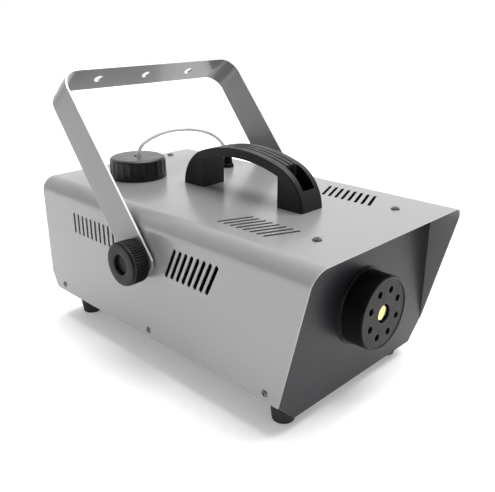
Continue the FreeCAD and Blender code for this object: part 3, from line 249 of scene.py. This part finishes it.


# At rest the yoke's cut edges face along this direction, or against it; they carry a painted highlight.
YOKE_EDGE = (0, -0.78, 0.625)
# The edge amounts below lighten the edges, partly as worn paint and partly as a painted highlight.
LOOKS = {
    "casing": powder_coat("casing_coat", (0.265, 0.265, 0.272), 0.3, metallic=0.15, edge_wear_and_highlight=0.15),
    # Yoke: cut edges painted bright as a painted highlight.
    "yoke_metal": powder_coat("yoke_coat", (0.19, 0.19, 0.197), 0.32, edge_wear_and_highlight=0.6, highlight_way=YOKE_EDGE),
    "dark_panel": powder_coat("panel_coat", (0.0115, 0.0115, 0.015), 0.38, metallic=0.08, coat=0.02,
                              fleck=0.1, edge_wear_and_highlight=0.04, Specular_IOR_Level=0.34),
    "pan_metal": powder_coat("pan_coat", (0.16, 0.16, 0.165), 0.36, coat=0.6),
    # Black plastic: its lighter rims and ridges are partly a painted highlight and partly wear.
    "black_plastic": moulded("black_nylon", (0.0055, 0.0055, 0.0066), 0.36, edge_wear_and_highlight=0.16,
                             Specular_IOR_Level=0.15),
    # Handle and cap: their up-facing faces are greyed as a painted top light.
    "grey_plastic": moulded("handle_plastic", (0.006, 0.0056, 0.0055), 0.42, grain=0.0008, depth=0.00003,
                            spread=0.05, top_light_paint=0.018, Specular_IOR_Level=0.28),
    "cap_plastic": moulded("cap_plastic", (0.008, 0.008, 0.009), 0.36, grain=0.0005, depth=0.000015,
                           spread=0.05, top_light_paint=0.068, Specular_IOR_Level=0.4),
    "rocker_red": moulded("rocker_plastic", (0.45, 0.012, 0.012), 0.22, grain=0.001, depth=0.000004,
                          spread=0.04),
    "rubber": rubbery("foot_rubber", (0.014, 0.018, 0.018)),
    "screw_black": machined("black_oxide", (0.16, 0.155, 0.15), 0.3),
    "zinc_steel": machined("zinc_plate", (0.62, 0.62, 0.6), 0.34),
    "dark_steel": machined("blackened_steel", (0.022, 0.022, 0.024), 0.5),
    "brass": machined("turned_brass", (0.85, 0.76, 0.3), 0.24, stretch=(1, 0.05, 1)),
    "copper": machined("drawn_copper", (0.74, 0.36, 0.21), 0.28),
    "cast_alloy": machined("cast_alloy", (0.5, 0.5, 0.5), 0.55, stretch=(1, 1, 1), mark=0.0014,
                           depth=0.00008),
    "sheet_alloy": machined("thin_sheet", (0.72, 0.72, 0.71), 0.26),
    "wool": fibrous("mineral_wool", (0.62, 0.58, 0.42)),
    "tank_plastic": translucent("tank_polythene", (0.42, 0.42, 0.38), 0.25, 0.4),
    "hose_clear": translucent("hose_tube", (0.96, 0.965, 0.94), 0.2, 0.2),
    "board_green": moulded("circuit_board", (0.02, 0.16, 0.05), 0.3, grain=0.002),
    "coil_tape": moulded("coil_tape", (0.4, 0.06, 0.02), 0.4, grain=0.0015, depth=0.00003),
    "glass": Shader("fuse_glass", (0.9, 0.93, 0.93), 0.06, Transmission_Weight=0.85, IOR=1.5).material,
}
SLOT = {part["node"]: part["material_slot"] for part in frame["record"]["subparts"]}


SHARP_ANGLE = math.radians(32)


def smooth(mesh):
    """Smooth shading, broken where two faces meet at more than the sharp angle."""
    bm = bmesh.new()
    bm.from_mesh(mesh)
    for face in bm.faces:
        face.smooth = True
    for edge in bm.edges:
        edge.smooth = len(edge.link_faces) == 2 and edge.calc_face_angle(0) < SHARP_ANGLE
    bm.to_mesh(mesh)
    bm.free()


def dress(obj, slot):
    obj.data.materials.clear()
    obj.data.materials.append(LOOKS[slot])


def add_mesh(name, bm, slot, body, replaced):
    """Makes the piece's object, and lets it ride on a body in place of the CAD node."""
    mesh = bpy.data.meshes.new(name)
    bmesh.ops.recalc_face_normals(bm, faces=bm.faces)
    bm.to_mesh(mesh)
    bm.free()
    smooth(mesh)
    obj = bpy.data.objects.new(name, mesh)
    bpy.context.scene.collection.objects.link(obj)
    dress(obj, slot)
    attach(obj, body)
    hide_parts(replaced)


AXES = {"x": (1, 2), "y": (2, 0), "z": (0, 1)}


def lathe(rings, centre, axis, steps, shape=None):
    """A closed turned form. A ring is (place along the axis, radius, depth of the ribs); shape(angle)
    goes from 0 to 1 and says how deep the ribs are cut there. Rings run once round the section."""
    bm = bmesh.new()
    a, b = AXES[axis]
    along = "xyz".index(axis)
    loops = []
    for place, radius, depth in rings:
        loop = []
        for i in range(steps):
            angle = 2 * math.pi * i / steps
            reach = radius - (depth * shape(angle) if shape and depth else 0.0)
            co = [0.0, 0.0, 0.0]
            co[along] = place
            co[a] = centre[a] + reach * math.cos(angle)
            co[b] = centre[b] + reach * math.sin(angle)
            loop.append(bm.verts.new(co))
        loops.append(loop)
    for one, two in zip(loops, loops[1:] + loops[:1]):
        for i in range(steps):
            j = (i + 1) % steps
            bm.faces.new((one[i], one[j], two[j], two[i]))
    return bm


ROUND_PIECES = 4


def rounded(corners, radius):
    """A closed section with its corners rounded: corners are (place, radius, depth) in order."""
    out = []
    count = len(corners)
    for i, corner in enumerate(corners):
        here = Vector(corner[:2])
        before = Vector(corners[i - 1][:2]) - here
        after = Vector(corners[(i + 1) % count][:2]) - here
        reach = min(radius, before.length * 0.45, after.length * 0.45)
        start, end = here + before.normalized() * reach, here + after.normalized() * reach
        for k in range(ROUND_PIECES + 1):
            t = k / ROUND_PIECES
            point = start * (1 - t) ** 2 + here * (2 * t * (1 - t)) + end * t ** 2
            out.append((point.x, point.y, corner[2]))
    return out


def middle(node):
    """Centre, low corner and high corner of a CAD node's box."""
    low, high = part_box(node)
    return (low + high) / 2, low, high


# ---------------------------------------------------------------------------------------------
# Clamp knobs: a smooth band round the face, fine ridges behind it
# ---------------------------------------------------------------------------------------------
KNOB_RIDGES = 48


def knob(side, sign):
    centre, low, high = middle(f"{side}_knob")
    radius = (high.y - low.y) / 2
    inner, outer = (high.x, low.x) if sign < 0 else (low.x, high.x)
    bore, recess, floor = 4.06 * MM, 9.5 * MM, 5.5 * MM
    ridge = 1.1 * MM

    def at(depth):
        """Place along the axis, so far in from the face."""
        return outer - sign * depth

    section = rounded([
        (at(floor), bore, 0), (at(floor), recess - 0.4 * MM, 0), (at(0), recess + 0.5 * MM, 0),
        (at(0), radius - 1.2 * MM, 0), (at(2.6 * MM), radius, 0),
    ], 1.0 * MM)
    section += [
        (at(3.0 * MM), radius - 0.1 * MM, 0), (at(3.6 * MM), radius - 0.1 * MM, ridge),
        (inner + sign * 1.2 * MM, radius - 0.5 * MM, ridge), (inner + sign * 0.3 * MM, radius - 1.1 * MM, 0),
        (inner, radius - 1.6 * MM, 0), (inner, bore, 0),
    ]
    wave = lambda angle: 0.5 - 0.5 * math.cos(KNOB_RIDGES * angle)
    bm = lathe(section, centre, "x", KNOB_RIDGES * 8, wave)
    add_mesh(f"{side}_clamp_knob", bm, "black_plastic", f"{side}_knob", f"{side}_knob")


# ---------------------------------------------------------------------------------------------
# Tank cap: domed edge, shallow grip flutes and a plain band at the foot
# ---------------------------------------------------------------------------------------------
CAP_FLUTES = 24


def cap():
    centre, low, high = middle("tank_cap")
    radius = (high.x - low.x) / 2
    flute, ease, roof = 0.9 * MM, 4.4 * MM, 3 * MM
    bore, eye = 25.4 * MM, 4 * MM
    wall = radius - 0.4 * MM
    section = []
    for k in range(9):
        turn = math.radians(90 * k / 8)
        depth = flute * min(1.0, max(0.0, (k - 5) / 3))
        section.append((high.z - ease + ease * math.cos(turn), wall - ease + ease * math.sin(turn), depth))
    section += [
        (low.z + 6.8 * MM, wall, flute), (low.z + 4.4 * MM, radius - 0.2 * MM, flute * 0.5),
        (low.z + 2.8 * MM, radius, 0), (low.z + 0.5 * MM, radius, 0), (low.z, radius - 0.6 * MM, 0),
        (low.z, bore, 0), (high.z - roof, bore, 0), (high.z - roof, eye, 0),
        (high.z - 0.5 * MM, eye, 0), (high.z, eye + 0.6 * MM, 0), (high.z, radius * 0.55, 0),
    ]
    wave = lambda angle: abs(math.cos(CAP_FLUTES * angle / 2))
    bm = lathe(section, centre, "z", CAP_FLUTES * 10, wave)
    add_mesh("ribbed_cap", bm, "cap_plastic", "cap", "tank_cap")


# ---------------------------------------------------------------------------------------------
# Feet: tapered, with a screw hole and a counterbore from below
# ---------------------------------------------------------------------------------------------
def foot(node):
    centre, low, high = middle(node)
    top = (high.x - low.x) / 2
    hole, counterbore, seat = 2.2 * MM, 5.2 * MM, low.z + 6 * MM
    section = rounded([
        (high.z, hole, 0), (high.z, top, 0), (low.z, top - 1.8 * MM, 0), (low.z, counterbore, 0),
        (seat, counterbore, 0), (seat, hole, 0),
    ], 1.2 * MM)
    bm = lathe(section, centre, "z", 72)
    add_mesh(node.replace("foot", "rubber_foot"), bm, "rubber", "root", node)


# ---------------------------------------------------------------------------------------------
# Fluid hose, from the filter up through the cap, over, and down through the gland
# ---------------------------------------------------------------------------------------------
# Points of the route: along the way from the cap to the gland, and height, in millimetres.
HOSE_ROUTE = [
    (-6, 46), (-6, 84), (-2, 124), (0, 164), (0, 198.5), (15, 210.5), (40, 218), (70, 217),
    (94, 208.3), (107.6, 191.5), (109.9, 167), (109.4, 143), (109.4, 118),
]
HOSE_RADIUS = 2 * MM
CAP_AXIS = Vector((-34, 124, 0)) * MM
GLAND_AXIS = Vector((67, 82, 0)) * MM


def hose():
    heading = (GLAND_AXIS - CAP_AXIS).normalized()
    points = [CAP_AXIS + heading * (s * MM) + Vector((0, 0, z * MM)) for s, z in HOSE_ROUTE]
    curve = bpy.data.curves.new("hose_tube", "CURVE")
    curve.dimensions = "3D"
    curve.bevel_depth = HOSE_RADIUS
    curve.bevel_resolution = 6
    curve.use_fill_caps = True
    line = curve.splines.new("NURBS")
    line.points.add(len(points) - 1)
    for spot, co in zip(line.points, points):
        spot.co = (*co, 1)
    line.order_u = 3
    line.use_endpoint_u = True
    line.resolution_u = 12
    obj = bpy.data.objects.new("hose_tube", curve)
    bpy.context.scene.collection.objects.link(obj)
    dress(obj, "hose_clear")
    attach(obj, "root")
    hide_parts("fluid_hose")


# ---------------------------------------------------------------------------------------------
# Studio
# ---------------------------------------------------------------------------------------------
FLOOR_GLOW = 0.24
FLOOR_HALF = 2.2


def floor():
    """Translucent white table, lit from below as well as from above."""
    bm = bmesh.new()
    corners = [(-1, -1), (1, -1), (1, 1), (-1, 1)]
    bm.faces.new([bm.verts.new((x * FLOOR_HALF, y * FLOOR_HALF, 0)) for x, y in corners])
    mesh = bpy.data.meshes.new("studio_floor")
    bm.to_mesh(mesh)
    bm.free()
    obj = bpy.data.objects.new("studio_floor", mesh)
    bpy.context.scene.collection.objects.link(obj)
    s = Shader("floor_paper", (0.93, 0.93, 0.93), 0.85, Emission_Color=(1, 1, 1, 1),
               Emission_Strength=FLOOR_GLOW)
    s.use_color(s.tint(s.noise(0.4, 2.0), 0.995, 1.005))
    obj.data.materials.append(s.material)


FAR_LIGHT = 1.2
NEAR_LIGHT = 0.06
KEY_LIGHT = 3.5
KEY_ANGLE = math.radians(50)
SIDE_LIGHT = 0.19
SIDE_LIGHT_SIZE = 0.25


def studio():
    """White room that is brightest behind the machine, a broad soft key from above right, and a weak soft
    lamp on the left side. The camera sees a plain white backdrop."""
    world = bpy.data.worlds.new("studio")
    world.use_nodes = True
    tree = world.node_tree
    room = tree.nodes["Background"]
    room.inputs["Color"].default_value = (1, 1, 1, 1)
    way = tree.nodes.new("ShaderNodeTexCoord")
    behind = tree.nodes.new("ShaderNodeVectorMath")
    behind.operation = "DOT_PRODUCT"
    behind.inputs[1].default_value = (0.7, 0.7, 0.0)
    fade = tree.nodes.new("ShaderNodeMapRange")
    limits = (("From Min", -0.9), ("From Max", 0.9), ("To Min", NEAR_LIGHT), ("To Max", FAR_LIGHT))
    for key, number in limits:
        fade.inputs[key].default_value = number
    tree.links.new(way.outputs["Generated"], behind.inputs[0])
    tree.links.new(behind.outputs["Value"], fade.inputs["Value"])
    tree.links.new(fade.outputs["Result"], room.inputs["Strength"])
    backdrop = tree.nodes.new("ShaderNodeBackground")
    backdrop.inputs["Color"].default_value = (1, 1, 1, 1)
    backdrop.inputs["Strength"].default_value = 1.0
    path = tree.nodes.new("ShaderNodeLightPath")
    mix = tree.nodes.new("ShaderNodeMixShader")
    tree.links.new(path.outputs["Is Camera Ray"], mix.inputs["Fac"])
    tree.links.new(room.outputs["Background"], mix.inputs[1])
    tree.links.new(backdrop.outputs["Background"], mix.inputs[2])
    tree.links.new(mix.outputs["Shader"], tree.nodes["World Output"].inputs["Surface"])
    bpy.context.scene.world = world

    light = bpy.data.lights.new("key_light", "SUN")
    light.energy = KEY_LIGHT
    light.angle = KEY_ANGLE
    key = bpy.data.objects.new("key_light", light)
    key.rotation_euler = Vector((0.25, -0.1, 1)).to_track_quat("Z", "Y").to_euler()
    bpy.context.scene.collection.objects.link(key)

    panel = bpy.data.lights.new("side_light", "AREA")
    panel.shape = "DISK"
    panel.size = SIDE_LIGHT_SIZE
    panel.energy = SIDE_LIGHT
    side = bpy.data.objects.new("side_light", panel)
    side.location = (-0.45, -0.24, 0.04)
    side.rotation_euler = Vector((-1, 0, 0)).to_track_quat("Z", "Y").to_euler()
    side.visible_camera = False
    bpy.context.scene.collection.objects.link(side)

    bpy.context.scene.view_settings.view_transform = "Standard"
    bpy.context.scene.view_settings.look = "None"


def camera():
    """Views the machine from the front left, a little above it."""
    yaw, pitch, roll = math.radians(-45.536), math.radians(20.832), math.radians(-0.11)
    back = Vector((math.sin(yaw) * math.cos(pitch), -math.cos(yaw) * math.cos(pitch), math.sin(pitch)))
    data = bpy.data.cameras.new("view")
    data.sensor_width = 36
    data.lens = 45.41
    obj = bpy.data.objects.new("view", data)
    obj.location = Vector((-443.34, -451.65, 346.89)) * MM
    turn = (-back).to_track_quat("-Z", "Y") @ Quaternion((0, 0, 1), roll)
    obj.rotation_euler = turn.to_euler()
    bpy.context.scene.collection.objects.link(obj)
    bpy.context.scene.camera = obj


for name, obj in nodes.items():
    smooth(obj.data)
    dress(obj, SLOT[name])
knob("left", -1)
knob("right", 1)
cap()
for name in nodes:
    if name.startswith("foot_") and name != "foot_screws":
        foot(name)
hose()
floor()
studio()
camera()
